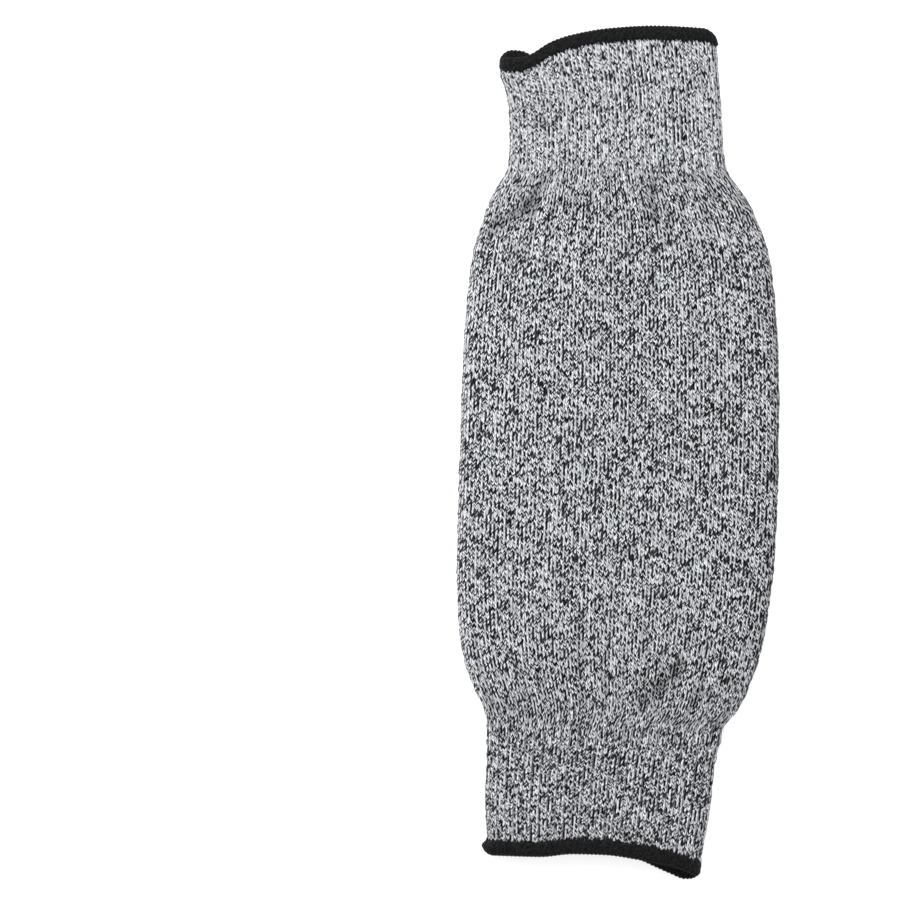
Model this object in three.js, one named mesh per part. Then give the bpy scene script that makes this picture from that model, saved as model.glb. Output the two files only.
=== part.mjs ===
import * as THREE from 'three';

// Cut resistant sleeve lying flat: one knitted tube, ribbed at both cuffs, and a
// black overlocked edge wrapped round each of its two mouths.
// Lengths are millimetres. +Y runs from wrist to elbow, +Z is up.

// Lengths along the sleeve
const WRIST_CUFF_LENGTH = 58.2;
const FOREARM_LENGTH = 243.2;
const ELBOW_CUFF_LENGTH = 58.6;

// Flat widths, from folded edge to folded edge
const WRIST_CUFF_WIDTH = 95.3;
const FOREARM_WIDTH = 135.8;
const ELBOW_CUFF_WIDTH = 89;

// The folded sides turn round a bend of this inside radius, and between them the
// upper layer is crowned this far above the sides.
const CUFF_SIDE_BEND = 1.5;
const FOREARM_SIDE_BEND = 4.3;
const CUFF_CROWN = 4.6;
const FOREARM_CROWN = 6.2;
const CROWN_POWER = 2.4;

// Knit: a wall of two-ply yarn, ribs that fade out where the cuffs widen
const KNIT_WALL = 1.6;
const RIBS_AROUND = 56;
const RIB_DEPTH = 0.4;
const GATHERS_AROUND = 30;
const GATHER_DEPTH = 0.7;

// Overlocked edges: a channel of black yarn round the knit's raw edge
const EDGE_WALL = 0.9;
const EDGE_CLEARANCE = 0.3;
const RAW_EDGE_CLEARANCE = 1.1;
const EDGE_ROUND = 0.9;
const ELBOW_EDGE_DEPTH = 6.8;
const WRIST_EDGE_DEPTH = 7.4;

// The mouths' corners are rounded this far in from the folded sides and back from the rim
const CORNER_WIDTH = 5.5;
const CORNER_SETBACK = 3.4;

// Near its mouths the knit lies raised by the overlocked edge below it
const RAISED_LENGTH = 20;
const RAISED_FADE = 25;

// How far back the two mouths are cut, and how deep the creases are
const WRIST_SLANT = 12;
const ELBOW_SLANT = 14;
const CREASE_DEPTH = 2.6;
const CREASE_WIDTH = 5;

// Along: 0 to 1 is the wrist cuff, 1 to 2 the forearm, 2 to 3 the elbow cuff.
// Flare: 0 is the cuff's own width, bend and crown, 1 the forearm's.
// Drift: the middle's place from side to side, as a share of half the forearm's width.
const SECTIONS = [
  { along: 0.0, flare: -0.13, drift: -0.152 },
  { along: 0.16, flare: -0.12, drift: -0.15 },
  { along: 0.45, flare: -0.04, drift: -0.137 },
  { along: 0.83, flare: 0.02, drift: -0.112 },
  { along: 1.02, flare: 0.12, drift: -0.078 },
  { along: 1.047, flare: 0.245, drift: -0.048 },
  { along: 1.073, flare: 0.4, drift: -0.037 },
  { along: 1.1, flare: 0.54, drift: -0.041 },
  { along: 1.142, flare: 0.72, drift: -0.04 },
  { along: 1.21, flare: 0.86, drift: -0.032 },
  { along: 1.33, flare: 0.965, drift: -0.012 },
  { along: 1.5, flare: 0.975, drift: 0.008 },
  { along: 1.66, flare: 0.945, drift: 0.018 },
  { along: 1.8, flare: 0.845, drift: 0.019 },
  { along: 1.87, flare: 0.705, drift: 0.016 },
  { along: 1.905, flare: 0.57, drift: 0.012 },
  { along: 1.935, flare: 0.44, drift: 0.006 },
  { along: 1.965, flare: 0.25, drift: -0.004 },
  { along: 1.995, flare: 0.07, drift: -0.006 },
  { along: 2.33, flare: 0.0, drift: -0.022 },
  { along: 2.7, flare: 0.06, drift: -0.059 },
  { along: 3.0, flare: 0.055, drift: -0.064 },
];

// The rim of each mouth: how far back it lies at places across the cuff, for the
// upper and the under layer, as shares of the mouth's slant.
const WRIST_RIM = [
  { across: -1.0, upper: 0.86, under: 0.88 },
  { across: -0.5, upper: 0.82, under: 0.87 },
  { across: -0.2, upper: 0.92, under: 0.95 },
  { across: 0.1, upper: 0.89, under: 0.92 },
  { across: 0.4, upper: 0.73, under: 0.71 },
  { across: 0.57, upper: 0.6, under: 0.44 },
  { across: 0.72, upper: 0.48, under: 0.19 },
  { across: 0.86, upper: 0.3, under: 0.0 },
  { across: 1.0, upper: 0.06, under: 0.0 },
];
const ELBOW_RIM = [
  { across: -1.0, upper: 0.9, under: 0.74 },
  { across: -0.87, upper: 0.95, under: 0.69 },
  { across: -0.78, upper: 0.93, under: 0.72 },
  { across: -0.7, upper: 0.83, under: 0.82 },
  { across: -0.57, upper: 0.56, under: 0.72 },
  { across: -0.48, upper: 0.42, under: 0.62 },
  { across: -0.33, upper: 0.27, under: 0.5 },
  { across: 0.0, upper: 0.08, under: 0.3 },
  { across: 0.42, upper: 0.0, under: 0.14 },
  { across: 0.87, upper: 0.06, under: 0.1 },
  { across: 1.0, upper: 0.14, under: 0.14 },
];

// Creases pressed into the upper layer, each a straight run between two places.
// Depth and width are shares of the crease sizes.
const CREASES = [
  { from: { across: -0.9, along: 1.908 }, to: { across: -0.62, along: 1.96 }, depth: 1.0, width: 1.0 },
  { from: { across: -0.7, along: 1.85 }, to: { across: -0.69, along: 1.83 }, depth: 0.4, width: 0.9 },
  { from: { across: 0.22, along: 1.915 }, to: { across: 0.37, along: 1.99 }, depth: 0.7, width: 0.8 },
  { from: { across: 0.33, along: 1.87 }, to: { across: 0.35, along: 1.905 }, depth: 0.35, width: 0.9 },
  { from: { across: 0.48, along: 1.125 }, to: { across: 0.27, along: 1.069 }, depth: 0.8, width: 1.0 },
  { from: { across: 0.7, along: 1.085 }, to: { across: 0.66, along: 1.07 }, depth: 0.5, width: 0.8 },
  { from: { across: -0.21, along: 1.21 }, to: { across: -0.21, along: 1.12 }, depth: 0.3, width: 1.2 },
  { from: { across: -0.93, along: 1.064 }, to: { across: -0.82, along: 1.045 }, depth: 0.3, width: 0.7 },
];

const LENGTHS = [WRIST_CUFF_LENGTH, FOREARM_LENGTH, ELBOW_CUFF_LENGTH];
const SLEEVE_LENGTH = WRIST_CUFF_LENGTH + FOREARM_LENGTH + ELBOW_CUFF_LENGTH;
const MID_FOREARM = 1.5;
const WRIST_END = SECTIONS[0].along;
const ELBOW_END = SECTIONS.at(-1).along;
const EDGE_OUTSET = EDGE_CLEARANCE + EDGE_WALL;
const RAW_EDGE_INSET = EDGE_WALL + RAW_EDGE_CLEARANCE;

// A mouth: where it is, which way the cuff runs from it, its rim and its edge's depth
const WRIST_MOUTH = {
  end: WRIST_END,
  inward: 1,
  rim: WRIST_RIM,
  slant: WRIST_SLANT,
  cuffLength: WRIST_CUFF_LENGTH,
  depth: WRIST_EDGE_DEPTH,
};
const ELBOW_MOUTH = {
  end: ELBOW_END,
  inward: -1,
  rim: ELBOW_RIM,
  slant: ELBOW_SLANT,
  cuffLength: ELBOW_CUFF_LENGTH,
  depth: ELBOW_EDGE_DEPTH,
};

const mix = THREE.MathUtils.lerp;
const clamp = THREE.MathUtils.clamp;
const smoothstep = THREE.MathUtils.smoothstep;

// Value of one column of a table at a place between its rows
function readTable(table, key, column, place) {
  const held = clamp(place, table[0][key], table.at(-1)[key]);
  const next = Math.max(table.findIndex((row) => row[key] >= held), 1);
  const low = table[next - 1];
  const high = table[next];
  return mix(low[column], high[column], (held - low[key]) / (high[key] - low[key]));
}

// Distance from the wrist's end to a place along the straight sleeve
function distanceTo(along) {
  return LENGTHS.reduce((sum, length, stretch) => sum + length * clamp(along - stretch, 0, 1), 0);
}

// The sizes of the tube's section at one place along it
function sectionAt(along) {
  const widening = readTable(SECTIONS, 'along', 'flare', along);
  const drift = readTable(SECTIONS, 'along', 'drift', along);
  const cuffWidth = along < MID_FOREARM ? WRIST_CUFF_WIDTH : ELBOW_CUFF_WIDTH;
  const flare = clamp(widening, 0, 1);
  const distance = distanceTo(along);
  const fromMouth = Math.min(distance, SLEEVE_LENGTH - distance);
  return {
    flare,
    halfWidth: mix(cuffWidth, FOREARM_WIDTH, widening) / 2,
    radius: KNIT_WALL + mix(CUFF_SIDE_BEND + EDGE_OUTSET, FOREARM_SIDE_BEND, flare),
    crown: mix(CUFF_CROWN, FOREARM_CROWN, flare),
    middle: (drift * FOREARM_WIDTH) / 2,
    raised: EDGE_OUTSET * (1 - smoothstep(fromMouth, RAISED_LENGTH, RAISED_LENGTH + RAISED_FADE)),
  };
}

// A place on the plain section: a bar with half-round sides, walked from its right
// edge (around 0) over the top to its left edge (0.5) and back underneath (1).
// It gives the offset from the middle and the layer: 0 for the under, 1 for the upper.
function walkSection({ halfWidth, radius }, around) {
  const flat = halfWidth - radius;
  const quarterRound = (Math.PI * radius) / 2;
  const turn = around - Math.floor(around);
  const over = turn < 0.5;
  const half = over ? turn * 2 : (1 - turn) * 2;
  const side = half < 0.5 ? 1 : -1;
  const fromEdge = Math.min(half, 1 - half) * 2 * (flat + quarterRound);
  const bend = Math.min(fromEdge, quarterRound) / radius;
  const out = flat + radius * Math.cos(bend) - Math.max(fromEdge - quarterRound, 0);
  const rise = over ? Math.sin(bend) : -Math.sin(bend);
  return { offset: side * out, layer: (1 + rise) / 2 };
}

// How far back the rim lies at one place of the mouth, blended from under to upper layer
function rimSetback({ rim, slant }, across, layer) {
  const upper = readTable(rim, 'across', 'upper', across);
  const under = readTable(rim, 'across', 'under', across);
  return slant * mix(under, upper, layer);
}

// Places slide back with the rim of their mouth, fully at the mouth and not at all
// where its cuff meets the forearm.
function slideBack(along, across, layer) {
  return [WRIST_MOUTH, ELBOW_MOUTH].reduce((sum, mouth) => {
    const share = clamp(1 - Math.abs(along - mouth.end), 0, 1);
    return sum + mouth.inward * share * rimSetback(mouth, across, layer);
  }, 0);
}

const creaseLines = CREASES.map(({ from, to, depth, width }) => ({
  line: new THREE.Line3(creaseEnd(from), creaseEnd(to)),
  depth: depth * CREASE_DEPTH,
  width: width * CREASE_WIDTH,
}));

function creaseEnd({ across, along }) {
  const section = sectionAt(along);
  return new THREE.Vector3(section.middle + across * section.halfWidth, distanceTo(along), 0);
}

// Each crease is a groove whose depth falls off as a bell curve of the distance to its line
function creaseDepthAt(x, y) {
  const place = new THREE.Vector3(x, y, 0);
  const nearest = new THREE.Vector3();
  return creaseLines.reduce((sum, { line, depth, width }) => {
    line.closestPointToPoint(place, true, nearest);
    return sum + depth * Math.exp(-((nearest.distanceTo(place) / width) ** 2));
  }, 0);
}

// Gathers are waves round the tube, at their strongest half way between cuff and forearm
function gatherDepthAt(flare, around) {
  const strength = (4 * flare * (1 - flare)) ** 2;
  return GATHER_DEPTH * strength * Math.cos(2 * Math.PI * GATHERS_AROUND * around);
}

// A point of the knit's outer face
function skinPoint(along, around) {
  const section = sectionAt(along);
  const { offset, layer } = walkSection(section, around);
  const across = offset / section.halfWidth;
  const x = section.middle + offset;
  const y = distanceTo(along) + slideBack(along, across, layer);
  const crown = section.crown * (1 - Math.abs(across) ** CROWN_POWER);
  const pressed = layer ** 2 * (creaseDepthAt(x, y) + gatherDepthAt(section.flare, around));
  const z = section.raised + layer * (2 * section.radius + crown) - pressed;
  return new THREE.Vector3(x, y, z);
}

// A point at a distance outside the knit's outer face, square to the section there
function offsetPoint(along, around, outward) {
  const step = 1 / (16 * RIBS_AROUND);
  const ahead = skinPoint(along, around + step);
  const behind = skinPoint(along, around - step);
  const outwards = new THREE.Vector3(ahead.z - behind.z, 0, behind.x - ahead.x).normalize();
  return skinPoint(along, around).addScaledVector(outwards, outward);
}

// The corners of a mouth are quarter ellipses. What lies deeper than the knit's raw edge
// slides back less, and the depth of the overlocked edge stays where it is.
function cornerSlide({ depth }, fromSide, inset) {
  const intoCorner = 1 - Math.min(fromSide / CORNER_WIDTH, 1);
  const fade = clamp((depth - inset) / (depth - RAW_EDGE_INSET), 0, 1);
  return CORNER_SETBACK * (1 - Math.sqrt(1 - intoCorner ** 2)) * fade;
}

// The place along the cuff that lies a given distance inside the rim
function alongInside(mouth, around, inset) {
  const section = sectionAt(mouth.end);
  const { offset, layer } = walkSection(section, around);
  const setback = rimSetback(mouth, offset / section.halfWidth, layer);
  const slide = cornerSlide(mouth, section.halfWidth - Math.abs(offset), inset);
  return mouth.end + (mouth.inward * (inset + slide)) / (mouth.cuffLength - setback);
}

// A closed skin through rings of equally many points, the last ring joined to the first
function skinRings(rings) {
  const around = rings[0].length;
  const index = [];
  rings.forEach((ring, row) => {
    const nextRow = (row + 1) % rings.length;
    ring.forEach((point, column) => {
      const nextColumn = (column + 1) % around;
      const corner = row * around + column;
      const ahead = nextRow * around + column;
      const aheadBeside = nextRow * around + nextColumn;
      const beside = row * around + nextColumn;
      index.push(corner, ahead, aheadBeside, corner, aheadBeside, beside);
    });
  });
  const geometry = new THREE.BufferGeometry().setFromPoints(rings.flat());
  geometry.setIndex(index);
  geometry.computeVertexNormals();
  return geometry;
}

function ringOf(count, pointAt) {
  return Array.from({ length: count }, (_, column) => pointAt(column / count, column));
}

// The knit: its outer face from wrist to elbow, and its inner face back again.
// Two columns make a rib, and every second one is sunk while the tube is narrow.
function knitTubeGeometry() {
  const columns = 2 * RIBS_AROUND;
  const alongAt = (along, around) => {
    const mouth = [WRIST_MOUTH, ELBOW_MOUTH].find(({ end }) => end === along);
    return mouth ? alongInside(mouth, around, RAW_EDGE_INSET) : along;
  };
  const outer = SECTIONS.map(({ along }) => ringOf(columns, (around, column) => {
    const sunk = (column % 2) * RIB_DEPTH * (1 - sectionAt(along).flare);
    return offsetPoint(alongAt(along, around), around, -sunk);
  }));
  const inner = SECTIONS.map(({ along }) => ringOf(columns, (around) => (
    offsetPoint(alongAt(along, around), around, -KNIT_WALL)
  )));
  return skinRings([...outer, ...inner.reverse()]);
}

// An overlocked edge: a channel section carried round the mouth. Its profile runs along
// the outside, into the channel round the knit's raw edge, and back along the inside.
function overlockEdgeGeometry(mouth) {
  const outside = EDGE_OUTSET;
  const inside = -KNIT_WALL - EDGE_OUTSET;
  const profile = [
    { inset: EDGE_ROUND, outward: outside },
    { inset: mouth.depth, outward: outside },
    { inset: mouth.depth, outward: EDGE_CLEARANCE },
    { inset: EDGE_WALL, outward: EDGE_CLEARANCE },
    { inset: EDGE_WALL, outward: -KNIT_WALL - EDGE_CLEARANCE },
    { inset: mouth.depth, outward: -KNIT_WALL - EDGE_CLEARANCE },
    { inset: mouth.depth, outward: inside },
    { inset: 0, outward: inside },
    { inset: 0, outward: outside - EDGE_ROUND },
  ];
  if (mouth.inward < 0) profile.reverse();
  return skinRings(profile.map(({ inset, outward }) => ringOf(RIBS_AROUND, (around) => (
    offsetPoint(alongInside(mouth, around, inset), around, outward)
  ))));
}

function piece(name, geometry, color, roughness) {
  const material = new THREE.MeshStandardMaterial({ color, roughness, metalness: 0 });
  const mesh = new THREE.Mesh(geometry, material);
  mesh.name = name;
  return mesh;
}

const sleeve = new THREE.Group();
sleeve.add(
  piece('knit_tube', knitTubeGeometry(), 0x909094, 0.95),
  piece('wrist_overlock_edge', overlockEdgeGeometry(WRIST_MOUTH), 0x1c1c1e, 0.9),
  piece('elbow_overlock_edge', overlockEdgeGeometry(ELBOW_MOUTH), 0x1c1c1e, 0.9),
);

// The origin is on the surface that the sleeve lies on, under the middle of its box
const box = new THREE.Box3().setFromObject(sleeve);
const middle = box.getCenter(new THREE.Vector3());
sleeve.position.set(-middle.x, -middle.y, -box.min.z);

export default sleeve;
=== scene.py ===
import math

import bpy
import numpy as np
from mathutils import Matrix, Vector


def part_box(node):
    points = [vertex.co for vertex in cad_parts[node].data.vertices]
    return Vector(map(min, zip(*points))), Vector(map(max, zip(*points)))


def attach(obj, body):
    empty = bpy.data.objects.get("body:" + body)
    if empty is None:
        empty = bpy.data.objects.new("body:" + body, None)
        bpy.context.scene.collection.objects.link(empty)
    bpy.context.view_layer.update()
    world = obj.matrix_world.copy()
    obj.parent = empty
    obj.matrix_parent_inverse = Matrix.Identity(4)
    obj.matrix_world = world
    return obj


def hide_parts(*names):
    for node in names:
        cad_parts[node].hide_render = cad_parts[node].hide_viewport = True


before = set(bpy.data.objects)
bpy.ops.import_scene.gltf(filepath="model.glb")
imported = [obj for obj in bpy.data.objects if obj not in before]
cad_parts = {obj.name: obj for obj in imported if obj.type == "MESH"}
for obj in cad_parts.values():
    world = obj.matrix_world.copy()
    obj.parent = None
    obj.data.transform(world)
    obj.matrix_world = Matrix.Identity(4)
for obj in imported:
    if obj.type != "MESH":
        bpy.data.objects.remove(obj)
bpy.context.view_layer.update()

# A knitted cut resistant sleeve lying flat, seen from straight above.
# Shapes are worked out in millimetres and put into the meshes in metres.
mm = 0.001

# The lying sleeve. along: 0 to 1 is the wrist cuff, 1 to 2 the forearm, 2 to 3 the elbow cuff.
sleeve = {
    "lengths": (58.2, 243.2, 58.6),
    "wristWidth": 95.3,
    "forearmWidth": 135.8,
    "elbowWidth": 89.0,
    "cuffBend": 1.5,
    "forearmBend": 4.3,
    "cuffCrown": 4.6,
    "forearmCrown": 6.2,
    "crownPower": 2.4,
    "wall": 1.6,
    "raisedLength": 20.0,
    "raisedFade": 25.0,
    "creaseDepth": 3.4,
    "creaseWidth": 3.7,
    "creaseSwell": 0.12,  # height of the swell beside a crease, as a share of its depth
    "swellWidth": 2.4,  # and its width, in crease widths
}

# along, flare (0 the cuff's own section, 1 the forearm's), drift of the middle from side to side
sections = np.array([
    (0.0, -0.13, -0.152),
    (0.16, -0.11, -0.147),
    (0.45, -0.02, -0.13),
    (0.83, 0.03, -0.106),
    (1.02, 0.1, -0.083),
    (1.047, 0.245, -0.048),
    (1.073, 0.4, -0.037),
    (1.1, 0.54, -0.041),
    (1.142, 0.72, -0.04),
    (1.21, 0.86, -0.032),
    (1.33, 0.965, -0.012),
    (1.5, 0.975, 0.008),
    (1.66, 0.945, 0.018),
    (1.8, 0.845, 0.019),
    (1.87, 0.705, 0.016),
    (1.905, 0.57, 0.012),
    (1.935, 0.44, 0.006),
    (1.965, 0.25, -0.004),
    (1.995, 0.07, -0.006),
    (2.26, 0.02, -0.012),
    (2.49, 0.015, -0.02),
    (2.66, 0.02, -0.036),
    (2.81, 0.06, -0.056),
    (3.0, 0.055, -0.064),
])

# Both mouths. foldOut and cornerShare are for the left and the right fold. rim: place across
# the cuff, then how far back the upper and the under rim lie there, as shares of the slant.
wristMouth = {
    "end": 0.0,
    "inward": 1.0,
    "cuffLength": 58.2,
    "slant": 12.0,
    "depth": 7.4,
    "foldOut": (1.2, -0.9),
    "cornerShare": (0.4, 0.8),
    "rim": np.array([
        (-1.0, 0.86, 0.88),
        (-0.5, 0.82, 0.87),
        (-0.2, 0.92, 0.95),
        (0.1, 0.89, 0.92),
        (0.4, 0.73, 0.71),
        (0.57, 0.6, 0.44),
        (0.72, 0.48, 0.19),
        (0.86, 0.3, 0.0),
        (1.0, 0.06, 0.0),
    ]),
}
elbowMouth = {
    "end": 3.0,
    "inward": -1.0,
    "cuffLength": 58.6,
    "slant": 14.0,
    "depth": 6.8,
    "foldOut": (-0.8, -0.3),
    "cornerShare": (0.9, 1.0),
    "rim": np.array([
        (-1.0, 0.9, 0.74),
        (-0.87, 0.95, 0.69),
        (-0.78, 0.93, 0.72),
        (-0.7, 0.83, 0.82),
        (-0.57, 0.56, 0.72),
        (-0.48, 0.42, 0.62),
        (-0.33, 0.27, 0.5),
        (0.0, 0.08, 0.3),
        (0.42, 0.0, 0.14),
        (0.87, 0.06, 0.1),
        (1.0, 0.14, 0.14),
    ]),
}

# Creases: from and to as (across, along), then depth and width as shares of the crease sizes
creases = (
    ((-0.605, 1.966), (-0.67, 1.927), 0.75, 0.75),
    ((-0.67, 1.922), (-0.87, 1.886), 0.85, 0.95),
    ((-0.7, 1.85), (-0.69, 1.83), 0.5, 0.9),
    ((0.271, 1.9), (0.299, 1.965), 1.0, 0.62),
    ((0.33, 1.865), (0.35, 1.9), 0.4, 0.8),
    ((0.48, 1.125), (0.27, 1.069), 0.8, 1.0),
    ((0.7, 1.085), (0.66, 1.07), 0.5, 0.8),
    ((-0.21, 1.21), (-0.21, 1.12), 0.3, 1.2),
    ((-0.93, 1.064), (-0.82, 1.045), 0.3, 0.7),
)

# How the loose knit lies: gathers where the tube widens, slack over the forearm
lie = {
    "gatherRelief": 0.7,
    # each: waves round the tube, height, turn in radians for each mm along, start in radians
    "gatherWaves": ((30, 1.0, 0.0, 0.0), (43, 0.5, 0.07, 0.0), (19, 0.4, 0.0, 1.3)),
    "gatherFall": 1.5,
    "slackRelief": 0.45,
    "slackLevel": 0.8,
    "broadAcross": (17, 41),  # mm for each radian, across and along
    "broadStart": 1.0,
    "broadAlong": (55, 29),
    "narrow": (9.5, 33),
    "narrowShare": 0.6,
}

# The black edge: a channel round the knit's raw edge. Lengths are in mm.
edge = {
    "wall": 0.9,
    "gap": 0.3,
    "rawGap": 1.1,
    "cornerWidth": 5.5,
    "cornerSetback": 3.4,
    "loops": 112,
    "columnsPerLoop": 8,
    "loopRelief": 0.3,
    "loopLean": 0.16,
    "rimReach": 1.2,  # how far in the loops stand out more
    "rimRound": 1.4,
    "rimThinning": 0.3,
    "knitThinning": 0.45,
    "outsideRows": 9,
    "rimRows": 11,
    "insideRows": 6,
    "insideWiden": 3,  # the inside is at full thickness after one part in so many of its depth
    "lipBack": 0.3,
    "lipGap": 0.1,
    "foldWidth": 3.4,
    "foldTaper": 0.7,
    "bulgeAt": 2.8,
    "bulgeWidth": 2.6,
    "toothLength": 1.5,
    "toothSpread": 0.5,
    "toothSetback": 0.8,
    "toothMiddle": 0.3,
    "seed": 5,
}
rawInset = edge["wall"] + edge["rawGap"]
edgeOutset = edge["gap"] + edge["wall"]

# The knit: loops in wales (columns) and courses (rows), with reliefs in mm
knit = {
    "wales": 168,
    "courses": 500,
    "columnsPerWale": 3,
    "outerRows": 150,
    "innerRows": 38,
    "waleRelief": 0.24,
    "ribWales": 3,
    "ribRelief": 0.22,
    "foldBump": 0.3,
    "foldBumpWidth": 5.0,
    # the gather's share of the painted fold shade, and the range that shade is clipped to
    "gatherShade": 0.45,
    "shadeRange": (-0.3, 1),
    "seed": 3,
}


# Smooth curve through a table's column that never overshoots its rows: a cubic between
# rows, whose slope at a row is the harmonic mean of the slopes on its two sides
def readSmooth(table, column, place):
    at = table[:, 0]
    value = table[:, column]
    step = np.diff(at)
    slope = np.diff(value) / step
    product = slope[:-1] * slope[1:]
    total = np.where(product > 0, slope[:-1] + slope[1:], 1.0)
    between = np.where(product > 0, 2 * product / total, 0.0)
    tangent = np.concatenate([slope[:1], between, slope[-1:]])
    row = np.clip(np.searchsorted(at, place, side="right") - 1, 0, len(at) - 2)
    t = np.clip((place - at[row]) / step[row], 0.0, 1.0)
    start = value[row] * (1 + 2 * t) * (1 - t) ** 2 + tangent[row] * step[row] * t * (1 - t) ** 2
    end = value[row + 1] * t ** 2 * (3 - 2 * t) + tangent[row + 1] * step[row] * t ** 2 * (t - 1)
    return start + end


# 0 below low, 1 above high, and a smooth step between them
def smoothStep(value, low, high):
    t = np.clip((value - low) / (high - low), 0.0, 1.0)
    return t * t * (3 - 2 * t)


# low at share 0, high at share 1, and in proportion between them
def mix(low, high, share):
    return low + (high - low) * share


# Distance from the wrist's end to a place along: each stretch adds its share of its length
def distanceTo(along):
    return sum(length * np.clip(along - n, 0, 1) for n, length in enumerate(sleeve["lengths"]))


# The place along for a distance from the wrist's end
def alongAt(distance):
    ends = np.cumsum((0,) + sleeve["lengths"])
    return np.interp(distance, ends, np.arange(4.0))


# The section's sizes at a place along, each blended from cuff to forearm by the flare.
# Towards the mouths the tube is raised by the thickness of the edge under it.
def sectionAt(along):
    widening = readSmooth(sections, 1, along)
    flare = np.clip(widening, 0, 1)
    cuffWidth = np.where(along < 1.5, sleeve["wristWidth"], sleeve["elbowWidth"])
    distance = distanceTo(along)
    fromMouth = np.minimum(distance, sum(sleeve["lengths"]) - distance)
    fade = smoothStep(fromMouth, sleeve["raisedLength"], sleeve["raisedLength"] + sleeve["raisedFade"])
    bend = mix(sleeve["cuffBend"] + edgeOutset, sleeve["forearmBend"], flare)
    return {
        "flare": flare,
        "half": mix(cuffWidth, sleeve["forearmWidth"], widening) / 2,
        "radius": sleeve["wall"] + bend,
        "crown": mix(sleeve["cuffCrown"], sleeve["forearmCrown"], flare),
        "middle": readSmooth(sections, 2, along) * sleeve["forearmWidth"] / 2,
        "raised": edgeOutset * (1 - fade),
    }


# A bar with half-round sides, walked from its right edge (0) over the top to its left
# edge (0.5) and back underneath (1). Gives the offset from the middle and the layer,
# which goes from 0 underneath to 1 on top.
def walkSection(section, around):
    turn = around - np.floor(around)
    over = turn < 0.5
    half = np.where(over, turn * 2, (1 - turn) * 2)
    side = np.where(half < 0.5, 1.0, -1.0)
    radius = section["radius"]
    flat = section["half"] - radius
    quarter = math.pi / 2 * radius
    fromEdge = np.minimum(half, 1 - half) * 2 * (flat + quarter)
    bend = np.minimum(fromEdge, quarter) / radius
    out = flat + radius * np.cos(bend) - np.maximum(fromEdge - quarter, 0)
    rise = np.where(over, np.sin(bend), -np.sin(bend))
    return side * out, (1 + rise) / 2


# Distances round the section from its left and its right fold: the shares of the way round,
# times two layers that are each two halves wide
def foldDistances(around, half):
    return np.abs(around - 0.5) * 4 * half, np.minimum(around, 1 - around) * 4 * half


# How far back the rim lies: the under and upper columns blended by the layer
def rimSetback(mouth, across, layer):
    upper = readSmooth(mouth["rim"], 1, across)
    under = readSmooth(mouth["rim"], 2, across)
    return mouth["slant"] * mix(under, upper, layer)


# Depth of all creases: each is a bell curve of the distance to its line, less a lower and
# wider one, which leaves a low swell at its sides
def creaseDepth(x, y):
    depth = np.zeros(np.broadcast(x, y).shape)
    swell = sleeve["creaseSwell"]
    for start, end, deep, wide in creases:
        ends = []
        for across, along in (start, end):
            section = sectionAt(np.array(along))
            middle = section["middle"] + across * section["half"]
            ends.append((middle, distanceTo(np.array(along))))
        (x0, y0), (x1, y1) = ends
        share = ((x - x0) * (x1 - x0) + (y - y0) * (y1 - y0)) / ((x1 - x0) ** 2 + (y1 - y0) ** 2)
        share = np.clip(share, 0, 1)
        far = np.hypot(x - mix(x0, x1, share), y - mix(y0, y1, share)) / (wide * sleeve["creaseWidth"])
        bell = (1 + swell) * np.exp(-far ** 2) - swell * np.exp(-(far / sleeve["swellWidth"]) ** 2)
        depth += deep * sleeve["creaseDepth"] * bell
    return depth


# Gathers, from -1 to 1: the mean of a few cosine waves round the tube, strongest halfway
# between the cuff's section and the forearm's
def gatherShare(y, flare, around):
    turn = 2 * math.pi * around
    strength = (4 * flare * (1 - flare)) ** lie["gatherFall"]
    waves = [high * np.cos(count * turn + twist * y + start)
             for count, high, twist, start in lie["gatherWaves"]]
    return strength * sum(waves) / sum(high for _, high, _, _ in lie["gatherWaves"])


# Depth of gathers and slack. Slack is a product of a sine across and a sine along, with a
# smaller slanting sine on it, and it grows with the flare.
def slackDepth(x, y, flare, around):
    acrossX, acrossY = lie["broadAcross"]
    alongX, alongY = lie["broadAlong"]
    narrowX, narrowY = lie["narrow"]
    broad = np.sin(x / acrossX + y / acrossY + lie["broadStart"]) * np.sin(y / alongY - x / alongX)
    swell = broad + lie["narrowShare"] * np.sin(x / narrowX - y / narrowY)
    slack = lie["slackRelief"] * flare * (lie["slackLevel"] + swell / 2)
    return lie["gatherRelief"] * gatherShare(y, flare, around) + slack


# A point of the sleeve's outer skin: the walked section, crowned on its upper layer, moved
# back by the rims near the mouths and pressed in by creases and slack
def skinPoint(along, around):
    section = sectionAt(along)
    offset, layer = walkSection(section, around)
    across = offset / section["half"]
    x = section["middle"] + offset
    y = distanceTo(along)
    for mouth in (wristMouth, elbowMouth):
        share = np.clip(1 - np.abs(along - mouth["end"]), 0, 1)
        y = y + mouth["inward"] * share * rimSetback(mouth, across, layer)
    crown = section["crown"] * (1 - np.abs(across) ** sleeve["crownPower"])
    pressed = layer ** 2 * (creaseDepth(x, y) + slackDepth(x, y, section["flare"], around))
    z = section["raised"] + layer * (2 * section["radius"] + crown) - pressed
    return np.stack([x, y, z], axis=-1)


# A point at a distance outside the skin, square to the section there: its slope is taken
# from the points a small step ahead and behind
def offsetPoint(along, around, outward):
    step = 1 / 1800
    ahead = skinPoint(along, around + step)
    behind = skinPoint(along, around - step)
    dx = ahead[..., 2] - behind[..., 2]
    dz = behind[..., 0] - ahead[..., 0]
    length = np.hypot(dx, dz)
    point = skinPoint(along, around)
    point[..., 0] += outward * dx / length
    point[..., 2] += outward * dz / length
    return point


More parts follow.
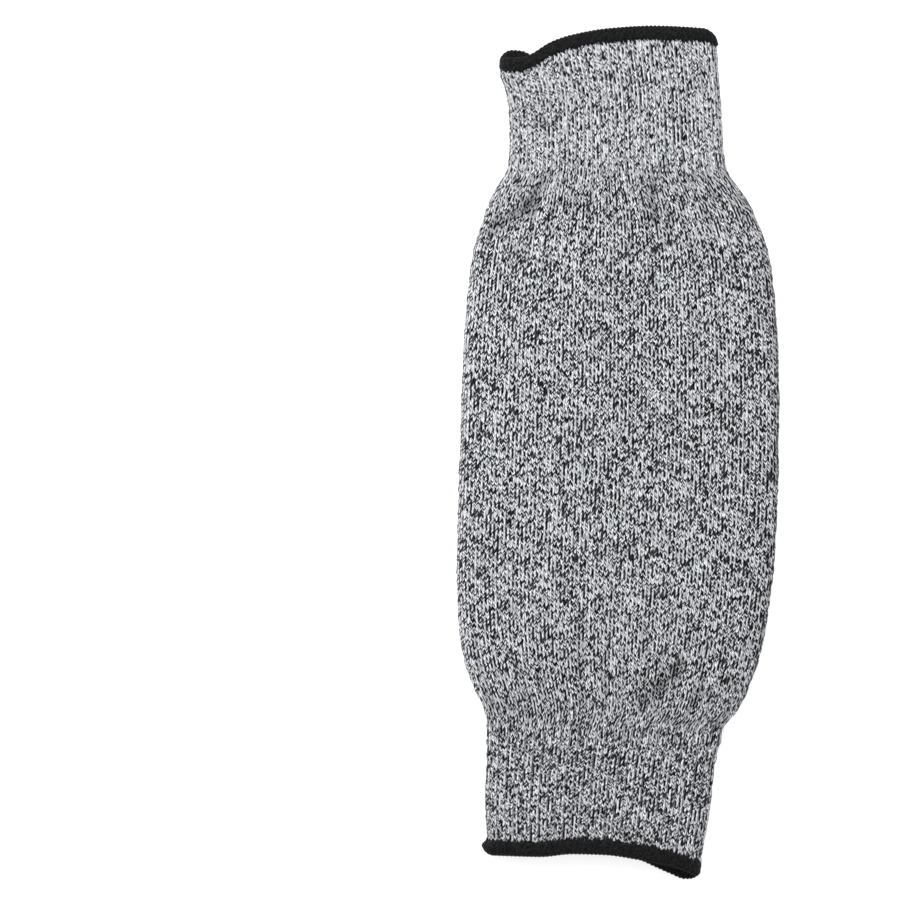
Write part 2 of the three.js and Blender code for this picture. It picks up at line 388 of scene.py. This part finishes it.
# The corners of a mouth are quarter ellipses, each with its own share of the corner sizes.
# They fade out towards the edge's depth.
def cornerSlide(mouth, offset, half, inset):
    left, right = mouth["cornerShare"]
    share = np.where(offset < 0, left, right)
    into = 1 - np.minimum((half - np.abs(offset)) / (share * edge["cornerWidth"]), 1)
    fade = np.clip((mouth["depth"] - inset) / (mouth["depth"] - rawInset), 0, 1)
    return share * edge["cornerSetback"] * (1 - np.sqrt(1 - into ** 2)) * fade


# The place along the cuff that lies a distance inside the mouth's rim
def alongInside(mouth, around, inset):
    section = sectionAt(np.array(mouth["end"]))
    offset, layer = walkSection(section, around)
    setback = rimSetback(mouth, offset / section["half"], layer)
    slide = cornerSlide(mouth, offset, section["half"], inset)
    return mouth["end"] + mouth["inward"] * (inset + slide) / (mouth["cuffLength"] - setback)


# The sleeve's own coordinates start at the wrist's end. This moves them to the frame's:
# the knit's outline is centred in the box of its solid.
def findOrigin():
    total = sum(sleeve["lengths"])
    along, around = np.meshgrid(alongAt(np.linspace(0, total, 400)), np.linspace(0, 1, 200))
    outline = skinPoint(along, around)
    low, high = (np.array(corner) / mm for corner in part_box("knit_tube"))
    wristBox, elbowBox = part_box("wrist_overlock_edge"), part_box("elbow_overlock_edge")
    x = (low[0] + high[0] - outline[..., 0].min() - outline[..., 0].max()) / 2
    middle = (wristBox[0][1] + elbowBox[1][1]) / 2 / mm
    return np.array([x, middle - total / 2, low[2]])


origin = findOrigin()


# Each corner's place on the stitch map, one more row and column than the points: u once
# round the tube, v as given
def stitchPlaces(columns, v):
    u = np.arange(columns + 1) / columns
    return np.stack(np.broadcast_arrays(u[None, :], v[:, None]), axis=-1)


# A closed skin over rows of equally many points, joined round in both directions.
# places holds each corner's UV, and the optional last argument each point's painted shade from creases
# and gathers, stored as a point attribute.
def gridPiece(name, points, places, finish, paintedFoldShade=None):
    rows, columns, _ = points.shape
    row, column = np.meshgrid(np.arange(rows), np.arange(columns), indexing="ij")
    nextRow = (row + 1) % rows
    nextColumn = (column + 1) % columns
    corners = [row * columns + column, nextRow * columns + column,
               nextRow * columns + nextColumn, row * columns + nextColumn]
    faces = np.stack(corners, axis=-1).reshape(-1, 4)
    mesh = bpy.data.meshes.new(name)
    mesh.from_pydata(((points + origin) * mm).reshape(-1, 3), [], faces)
    uv = np.stack([places[row, column], places[row + 1, column],
                   places[row + 1, column + 1], places[row, column + 1]], axis=2)
    layer = mesh.uv_layers.new(name="stitchPlace")
    layer.data.foreach_set("uv", uv.reshape(-1).astype(np.float32))
    # The painted shade of creases and gathers goes to the knit's material as a point attribute
    if paintedFoldShade is not None:
        shade = mesh.attributes.new("paintedFoldShade", "FLOAT", "POINT")
        shade.data.foreach_set("value", paintedFoldShade.reshape(-1).astype(np.float32))
    mesh.shade_smooth()
    mesh.materials.append(finish)
    piece = bpy.data.objects.new(name, mesh)
    bpy.context.scene.collection.objects.link(piece)
    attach(piece, "root")
    print(name, "has", 2 * len(faces), "triangles")
    return piece


# A socket of a material, which adds a Math node for each sum that is written with it
class Socket:
    def __init__(self, finish, socket):
        self.finish = finish
        self.socket = socket

    # The Math node of an operation on this socket and the others
    def maths(self, operation, *others):
        inputs = dict(enumerate((self,) + others))
        return self.finish.add("ShaderNodeMath", {"operation": operation}, inputs)

    def __add__(self, other):
        return self.maths("ADD", other)

    def __sub__(self, other):
        return self.maths("SUBTRACT", other)

    def __mul__(self, other):
        return self.maths("MULTIPLY", other)

    def __truediv__(self, other):
        return self.maths("DIVIDE", other)

    def __gt__(self, other):
        return self.maths("GREATER_THAN", other)

    def __lt__(self, other):
        return self.maths("LESS_THAN", other)

    def __pow__(self, other):
        return self.maths("POWER", other)

    def __rsub__(self, other):
        return (self * -1) + other

    __radd__ = __add__
    __rmul__ = __mul__


# One material and the single method that adds any node to it
class Finish:
    def __init__(self, name):
        self.material = bpy.data.materials.new(name)
        self.material.use_nodes = True
        self.tree = self.material.node_tree
        self.tree.nodes.clear()

    # A node of a type, with its settings made first and then its sockets fed
    def add(self, kind, settings=None, inputs=None, output=0):
        node = self.tree.nodes.new(kind)
        for key, value in (settings or {}).items():
            setattr(node, key, value)
        for key, value in (inputs or {}).items():
            if isinstance(value, Socket):
                self.tree.links.new(value.socket, node.inputs[key])
            else:
                node.inputs[key].default_value = value
        return Socket(self, node.outputs[output]) if node.outputs else None

    # The stitch map's u and v, each times its scale
    def place(self, scaleU, scaleV):
        uv = self.add("ShaderNodeUVMap", {"uv_map": "stitchPlace"})
        u = self.add("ShaderNodeSeparateXYZ", inputs={0: uv}, output="X")
        v = self.add("ShaderNodeSeparateXYZ", inputs={0: uv}, output="Y")
        return u * scaleU, v * scaleV

    # A vector of three numbers
    def point(self, x, y, z=0.0):
        return self.add("ShaderNodeCombineXYZ", inputs={0: x, 1: y, 2: z})

    # An even chance from 0 to 1 for each point
    def chance(self, x, y, z=0.0):
        return self.add("ShaderNodeTexWhiteNoise", {"noise_dimensions": "3D"},
                        {"Vector": self.point(x, y, z)})

    # Smooth noise, about 0.5 on average
    def noise(self, vector, scale, detail=2.0, roughness=0.5):
        return self.add("ShaderNodeTexNoise", {"noise_dimensions": "3D"},
                        {"Vector": vector, "Scale": scale, "Detail": detail, "Roughness": roughness})

    # A smooth step from 0 at low to 1 at high
    def ramp(self, value, low, high):
        return self.add("ShaderNodeMapRange", {"interpolation_type": "SMOOTHSTEP"},
                        {"Value": value, "From Min": low, "From Max": high})

    # Colour A at factor 0 and B at 1, or another way of blending
    def blend(self, factor, colourA, colourB, how="MIX"):
        return self.add("ShaderNodeMix", {"data_type": "RGBA", "blend_type": how},
                        {0: factor, 6: colourA, 7: colourB}, output=2)

    # The finished cloth: matte yarn with its height as bump
    def close(self, colour, roughness, height, distance, sheen):
        bump = self.add("ShaderNodeBump",
                        inputs={"Height": height, "Distance": distance, "Strength": 1.0})
        shader = self.add("ShaderNodeBsdfPrincipled", inputs={
            "Base Color": colour, "Roughness": roughness, "Normal": bump,
            "Sheen Weight": sheen, "Sheen Roughness": 0.5, "Specular IOR Level": 0.12})
        self.add("ShaderNodeOutputMaterial", inputs={"Surface": shader})
        return self.material


# The knit's yarn: light and dark strands twisted together. Sizes are in wales and courses.
yarn = {
    "light": (0.955, 0.966, 1.0, 1.0),
    "pale": (0.49, 0.5, 0.535, 1.0),
    "dark": (0.003, 0.003, 0.004, 1.0),
    "paleFall": 1.7,  # above 1, fewer legs are pale
    "wobble": 0.55,
    "slip": 0.9,
    "unevenness": (0.8, 0.6),  # the scale of wobble and slip, across and up
    "lean": 1.62,
    "darkLeft": 0.26,
    "darkRight": 0.62,
    "patches": 0.34,
    "patchScale": (0.35, 0.1),
    "dashSpread": 0.5,
    "dashBase": 0.19,
    "dashSoft": 0.2,
    "dashSides": (-0.1, 0.12),
    "elbowRibs": (0.79, 0.86),  # where along the knit the cuffs' ribs fade in
    "wristRibs": (0.22, 0.13),
    "ribShift": (0.127, 0.253),  # how far a rib's two inner borders move towards its sunk wale
    # painted shade on each rib's sunk wale in the cuffs
    "paintedRibShade": 0.12,
    # painted shade: how much the gaps between courses, legs and wales are darkened, and how it falls
    # off
    "courseGapShade": 0.75,
    "legGapShade": 0.26,
    "gapShadeFall": 1.5,
    "waleGapShade": 0.45,
    "cuffWaleGapShade": 0.2,
    "valleyFrom": 0.55,
    "flecks": (4, 2.2),  # in a wale and in a course
    "fleckLow": 0.66,
    "fleckHigh": 1.28,
    # how strongly the painted shade darkens the creases and gathers
    "paintedFoldShadeStrength": 0.36,
    "elbowLighter": 0.11,
    "wristDarker": 0.05,
    "fibres": (9.0, 2.2),
    "fibreRelief": 0.15,
    "relief": 0.3 * mm,
}


# The even wales with each rib's three squeezed or widened in the cuffs: both borders between
# them move, and each wale fills the room between its own two
def ribWales(evenU, inCuff):
    group = evenU / knit["ribWales"]
    rib = group.maths("FLOOR")
    spot = group - rib
    first, second = (inCuff * shift + (n + 1) / 3 for n, shift in enumerate(yarn["ribShift"]))
    u = rib * knit["ribWales"] + (spot / first).maths("MINIMUM", 1.0)
    u = u + ((spot - first) / (second - first)).maths("MAXIMUM", 0.0).maths("MINIMUM", 1.0)
    return u + ((spot - second) / (1 - second)).maths("MAXIMUM", 0.0)


# Each wale is a column of V stitches: two legs that lean outwards as they climb. A leg is
# light or dark by chance, more often dark on the right. A dark leg is a dash that is
# narrower than its course. Painted shade darkens the legs towards their gaps, each rib's
# sunk wale in the cuffs and the folds, and small flecks are lighter or darker by a factor each.
def knitFinish():
    f = Finish("marledKnit")
    evenU, evenV = f.place(knit["wales"], knit["courses"])
    elbowCuff = f.ramp(evenV, *(knit["courses"] * place for place in yarn["elbowRibs"]))
    wristCuff = f.ramp(evenV, *(knit["courses"] * place for place in yarn["wristRibs"]))
    inCuff = elbowCuff + wristCuff
    across, up = yarn["unevenness"]
    sway = f.noise(f.point(evenU * across, evenV * up, 3.0), 1.0, 1.0)
    slip = f.noise(f.point(evenU * across, evenV * up, 11.0), 1.0, 1.0)
    u = ribWales(evenU, inCuff) + (sway - 0.5) * yarn["wobble"]
    v = evenV + (slip - 0.5) * yarn["slip"]
    wale = u.maths("FLOOR")
    across = u - wale
    side = across > 0.5
    fromMiddle = (across * 2 - 1).maths("ABSOLUTE")
    climb = v - fromMiddle * yarn["lean"]
    course = climb.maths("FLOOR")
    within = climb - course
    leg = across * 2 - side
    legRound = (leg * math.pi).maths("SINE")
    stitchRound = (within * math.pi).maths("SINE")

    patchU, patchV = yarn["patchScale"]
    patch = f.noise(f.point(wale * patchU, course * patchV, side * 7.3), 1.0)
    share = side * (yarn["darkRight"] - yarn["darkLeft"]) + yarn["darkLeft"]
    share = share + (patch - 0.5) * yarn["patches"]
    share = share - elbowCuff * yarn["elbowLighter"] + wristCuff * yarn["wristDarker"]
    legNumber = wale + side * 0.5
    isDark = f.chance(legNumber, course, 1.0) < share
    width = f.chance(legNumber, course, 3.0) * yarn["dashSpread"] - yarn["dashBase"]
    dash = f.ramp(stitchRound - width, 0.0, yarn["dashSoft"]) * f.ramp(legRound, *yarn["dashSides"])
    tone = f.chance(legNumber, course, 5.0)
    light = f.blend(tone ** yarn["paleFall"], yarn["light"], yarn["pale"])
    colour = f.blend(isDark * dash, light, yarn["dark"])

    # Painted shade, darker towards the gaps between courses and legs and in the valleys between wales
    courseShade = 1 - (1 - stitchRound) ** yarn["gapShadeFall"] * yarn["courseGapShade"]
    legShade = 1 - (1 - legRound) ** yarn["gapShadeFall"] * yarn["legGapShade"]
    valley = f.ramp(fromMiddle, yarn["valleyFrom"], 1.0)
    valleyShade = yarn["waleGapShade"] - inCuff * (yarn["waleGapShade"] - yarn["cuffWaleGapShade"])
    # Painted shade on the sunk wale of each rib in the cuffs
    sunkWale = ((wale / knit["ribWales"]).maths("FRACT") > 0.5) * inCuff
    gap = courseShade * legShade * (1 - valley * valleyShade) * (1 - sunkWale * yarn["paintedRibShade"])
    fleckU, fleckV = yarn["flecks"]
    fleck = f.chance((u * fleckU).maths("FLOOR"), (climb * fleckV).maths("FLOOR"), 9.0)
    gap = gap * (fleck * (yarn["fleckHigh"] - yarn["fleckLow"]) + yarn["fleckLow"])
    # Painted shade in creases and gathers, read from the mesh attribute
    paintedFoldShade = f.add("ShaderNodeAttribute", {"attribute_name": "paintedFoldShade"}, output="Fac")
    gap = gap * (1 - paintedFoldShade * yarn["paintedFoldShadeStrength"])
    # The colour times the painted shade and the flecks
    colour = f.blend(1.0, colour, f.point(gap, gap, gap), "MULTIPLY")
    fibreU, fibreV = yarn["fibres"]
    fibre = f.noise(f.point(u * fibreU, climb * fibreV), 1.0, 3.0, 0.65)
    loop = legRound ** 0.6 * (stitchRound ** 0.5 * 0.55 + 0.45)
    return f.close(colour, 0.9, loop + fibre * yarn["fibreRelief"], yarn["relief"], 0.02)


# Black textured yarn: the loops are in the mesh, the filaments in the bump
blackYarn = {
    # deep is painted shade low among the filaments, lit a painted highlight on their tops
    "deep": (0.0018, 0.0018, 0.002, 1.0),
    "lit": (0.038, 0.038, 0.04, 1.0),
    "stepsAcross": 12.0,
    "filaments": (1.5, 0.9, 1.1),  # across a loop, its slant, and up
    "crossings": 3.0,
    "crossingShare": 0.6,
    "relief": 0.26 * mm,
}


# Filaments are noise drawn out along a slant, with broader noise across them. Their colour is
# painted light: the higher they stand, the lighter they are, from painted shade to painted highlight.
def edgeFinish():
    f = Finish("blackOverlockYarn")
    u, v = f.place(edge["loops"], blackYarn["stepsAcross"])
    across, slant, up = blackYarn["filaments"]
    filament = f.noise(f.point(u * across + v * slant, v * up, 2.0), 2.2, 4.0, 0.7)
    crossing = f.noise(f.point(u, v * blackYarn["crossings"], 9.0), 1.3, 2.0)
    colour = f.blend(f.ramp(filament, 0.38, 0.75), blackYarn["deep"], blackYarn["lit"])
    height = filament + crossing * blackYarn["crossingShare"]
    return f.close(colour, 0.8, height, blackYarn["relief"], 0.05)


# The knit tube: its outer face from wrist to elbow and its inner face back again, closed
# inside the two black edges. Each wale is a ridge between two sunk columns. In the cuffs a
# column in each rib is sunk instead. The folded sides are uneven by a chance for each row.
# The painted shade in folds is the crease's depth and a share of the gather's, on the upper layer.
def makeKnit():
    columns = knit["wales"] * knit["columnsPerWale"]
    around = np.arange(columns) / columns
    total = sum(sleeve["lengths"])
    outer = np.linspace(0, total, knit["outerRows"])
    inner = np.linspace(total, 0, knit["innerRows"])
    distance = np.concatenate([outer, inner])[:, None]
    isOuter = (np.arange(len(distance)) < knit["outerRows"])[:, None]
    alongStart = alongInside(wristMouth, around, rawInset)[None, :]
    alongEnd = alongInside(elbowMouth, around, rawInset)[None, :]
    along = np.clip(alongAt(distance) + np.zeros((1, columns)), alongStart, alongEnd)
    everywhere = np.broadcast_to(around, along.shape)
    section = sectionAt(along)

    wale, phase = np.divmod(np.arange(columns), knit["columnsPerWale"])
    valley = np.where(phase == 0, 1.0, 0.0)[None, :]
    lastWale = wale % knit["ribWales"] == knit["ribWales"] - 1
    lastColumn = phase == knit["columnsPerWale"] - 1
    ribColumn = (lastWale & lastColumn)[None, :] * (1 - section["flare"]) ** 2
    relief = -knit["waleRelief"] * valley * (1 - ribColumn) - knit["ribRelief"] * ribColumn
    fromFold = np.minimum(*foldDistances(around, section["half"]))
    uneven = np.random.default_rng(knit["seed"]).uniform(-1, 1, (len(distance), 1))
    bump = knit["foldBump"] * uneven * np.exp(-(fromFold / knit["foldBumpWidth"]) ** 2)
    points = offsetPoint(along, everywhere, np.where(isOuter, relief + bump, -sleeve["wall"]))

    places = stitchPlaces(columns, np.append(distance[:, 0], distance[0, 0]) / total)
    # Painted shade for creases and gathers, on the upper layer only
    layer = walkSection(section, everywhere)[1]
    crease = creaseDepth(points[..., 0], points[..., 1]) / sleeve["creaseDepth"]
    gather = gatherShare(points[..., 1], section["flare"], around[None, :])
    paintedFoldShade = np.clip(layer ** 2 * (crease + knit["gatherShade"] * gather), *knit["shadeRange"])
    piece = gridPiece("knitTube", points, places, knitFinish(), paintedFoldShade)
    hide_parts("knit_tube")
    return piece


# How deep the edge reaches on the knit, for each column: uneven teeth, one a loop, whose
# setback and sharpness are drawn by chance and blended from loop to loop
def toothDepth(mouth, number, within):
    loops = edge["loops"]
    chance = np.random.default_rng(edge["seed"])
    setbacks = chance.uniform(-1, 1, loops) * edge["toothSpread"]
    lengths = chance.uniform(0.1, 1, loops) * edge["toothLength"]
    after = (number + 1) % loops
    setback = mix(setbacks[number], setbacks[after], smoothStep(within, 0, 1))
    length = mix(lengths[number], lengths[after], within)
    tip = np.abs(2 * within - 1) - edge["toothMiddle"]
    return mouth["depth"] - edge["toothSetback"] + setback + length * tip


# One black edge. Its profile runs along the outside from the knit to the rim, round the rim,
# back along the inside, and through the channel. It thins towards the rim and the knit,
# loops of yarn make leaning ridges across it, higher at the rim, and it ends on the knit in
# teeth. At each fold it swells or draws in by foldOut and tapers towards the knit.
def makeEdge(name, node, mouth, finish):
    loops = edge["loops"]
    columns = loops * edge["columnsPerLoop"]
    around = np.arange(columns) / columns
    number = np.floor(around * loops).astype(int)
    depth = toothDepth(mouth, number, around * loops - number)[None, :]

    half = sleeve["wall"] / 2 + edgeOutset
    middle = -sleeve["wall"] / 2
    rimHalf = half * (1 - edge["rimThinning"])
    innerOut = -sleeve["wall"] - edge["gap"]
    towardsKnit = np.linspace(1, 0, edge["outsideRows"] + 1)[:-1, None]
    backInside = np.linspace(0, 1, edge["insideRows"] + 1)[1:, None]
    turn = np.linspace(0, math.pi, edge["rimRows"])[:, None]
    rimThinning = edge["rimThinning"] * (1 - towardsKnit) ** 4
    thickness = 1 - rimThinning - edge["knitThinning"] * towardsKnit ** 6
    widen = (half - rimHalf) * np.minimum(backInside * edge["insideWiden"], 1)
    level = np.ones((1, columns))
    inset = np.concatenate([
        edge["rimRound"] + towardsKnit * (depth - edge["rimRound"]),
        edge["rimRound"] * (1 - np.sin(turn)) * level,
        (edge["rimRound"] + backInside * (mouth["depth"] - edge["rimRound"])) * level,
        (mouth["depth"] - edge["lipBack"]) * level,
        edge["wall"] * level,
        edge["wall"] * level,
        depth - edge["lipBack"],
    ])
    out = np.concatenate([
        (middle + half * thickness) * level,
        (middle + rimHalf * np.cos(turn)) * level,
        (middle - rimHalf - widen) * level,
        innerOut * level,
        innerOut * level,
        edge["gap"] * level,
        edge["lipGap"] * level,
    ])

    channelRows = 4
    shown = (np.arange(len(inset)) < len(inset) - channelRows)[:, None]
    ridge = np.abs(np.sin(math.pi * (around * loops + edge["loopLean"] * inset)))
    atRim = np.exp(-(inset / edge["rimReach"]) ** 2)
    cut = np.where(shown, edge["loopRelief"] * (1 + atRim) * (1 - np.sqrt(ridge)), 0)
    lean = np.clip((out - middle) / rimHalf, -1, 1)
    out = out - cut * lean
    inset = inset + cut * np.sqrt(1 - lean ** 2)

    fromFolds = foldDistances(around, sectionAt(np.array(mouth["end"]))["half"])
    leftFold, rightFold = (np.exp(-(far / edge["foldWidth"]) ** 2) for far in fromFolds)
    leftOut, rightOut = mouth["foldOut"]
    bulge = np.exp(-((inset - edge["bulgeAt"]) / edge["bulgeWidth"]) ** 2)
    bulge = (leftFold * leftOut + rightFold * rightOut) * bulge
    toKnit = np.zeros((len(inset), 1))
    toKnit[:len(towardsKnit)] = towardsKnit
    taper = edge["foldTaper"] * half * (leftFold + rightFold) * toKnit ** 2
    out = out + np.where(out > 0, bulge, 0) - taper

    along = alongInside(mouth, around[None, :], inset)
    points = offsetPoint(along, np.broadcast_to(around, inset.shape), out)
    if mouth["inward"] > 0:
        points = points[::-1]
    places = stitchPlaces(columns, np.arange(len(inset) + 1) / len(inset))
    piece = gridPiece(name, points, places, finish)
    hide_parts(node)
    return piece


print("knit")
knitTube = makeKnit()
print("edges")
edgeYarn = edgeFinish()
wristEdge = makeEdge("wristOverlock", "wrist_overlock_edge", wristMouth, edgeYarn)
elbowEdge = makeEdge("elbowOverlock", "elbow_overlock_edge", elbowMouth, edgeYarn)

# The floor glows a little, so that the soft shadows on it stay pale. Sizes are in metres.
paleFloor = {"reach": 3.0, "height": -0.0002, "colour": (0.55, 0.55, 0.55, 1), "glow": 0.55}


# A pale square just under the sleeve
def makeFloor():
    reach, height = paleFloor["reach"], paleFloor["height"]
    mesh = bpy.data.meshes.new("floor")
    corners = [(x * reach, y * reach, height) for x, y in ((-1, -1), (1, -1), (1, 1), (-1, 1))]
    mesh.from_pydata(corners, [], [(0, 1, 2, 3)])
    f = Finish("paleFloor")
    shader = f.add("ShaderNodeBsdfPrincipled", inputs={
        "Base Color": paleFloor["colour"], "Roughness": 0.9,
        "Emission Color": (1, 1, 1, 1), "Emission Strength": paleFloor["glow"]})
    f.add("ShaderNodeOutputMaterial", inputs={"Surface": shader})
    mesh.materials.append(f.material)
    floor = bpy.data.objects.new("floor", mesh)
    bpy.context.scene.collection.objects.link(floor)


# Soft light: a bright surrounding and one large lamp above, a little to one side
studio = {"surround": 0.72, "lampPower": 25.0, "lampSize": 1.3, "lampAt": (-0.5, 1.0, 1.3),
          "gamma": 0.86, "exposure": 0.25}


# The lamp is tipped from straight down by the angle between its place and the upright, and
# then turned so that it faces the sleeve
def makeLight():
    world = bpy.data.worlds.new("studio")
    world.use_nodes = True
    background = world.node_tree.nodes["Background"]
    background.inputs["Color"].default_value = (1, 1, 1, 1)
    background.inputs["Strength"].default_value = studio["surround"]
    bpy.context.scene.world = world
    lamp = bpy.data.lights.new("softbox", "AREA")
    lamp.energy = studio["lampPower"]
    lamp.size = studio["lampSize"]
    softbox = bpy.data.objects.new("softbox", lamp)
    softbox.location = studio["lampAt"]
    away = np.array(studio["lampAt"])
    tip = math.acos(away[2] / np.linalg.norm(away))
    softbox.rotation_euler = (tip, 0, math.atan2(away[0], -away[1]))
    bpy.context.scene.collection.objects.link(softbox)
    view = bpy.context.scene.view_settings
    view.view_transform = "Standard"
    view.gamma = studio["gamma"]
    view.exposure = studio["exposure"]


# The camera looks straight down, with the sleeve at the right of the picture. height is
# above plane, the level in metres where a pixel has the size given.
shot = {"pixels": 900, "mmPerPixel": 0.4215, "sleeveAt": (618, 453), "height": 3.0,
        "plane": 0.008, "sensor": 36.0}


# The focal length is to the sensor as the height is to the picture's width on that level
def makeCamera():
    lens = bpy.data.cameras.new("camera")
    width = shot["pixels"] * shot["mmPerPixel"] * mm
    lens.sensor_width = shot["sensor"]
    lens.lens = shot["sensor"] * shot["height"] / width
    camera = bpy.data.objects.new("camera", lens)
    middle = shot["pixels"] / 2
    x = (middle - shot["sleeveAt"][0]) * shot["mmPerPixel"] * mm
    y = (shot["sleeveAt"][1] - middle) * shot["mmPerPixel"] * mm
    camera.location = (x, y, shot["height"] + shot["plane"])
    bpy.context.scene.collection.objects.link(camera)
    bpy.context.scene.camera = camera


print("studio")
makeFloor()
makeLight()
makeCamera()
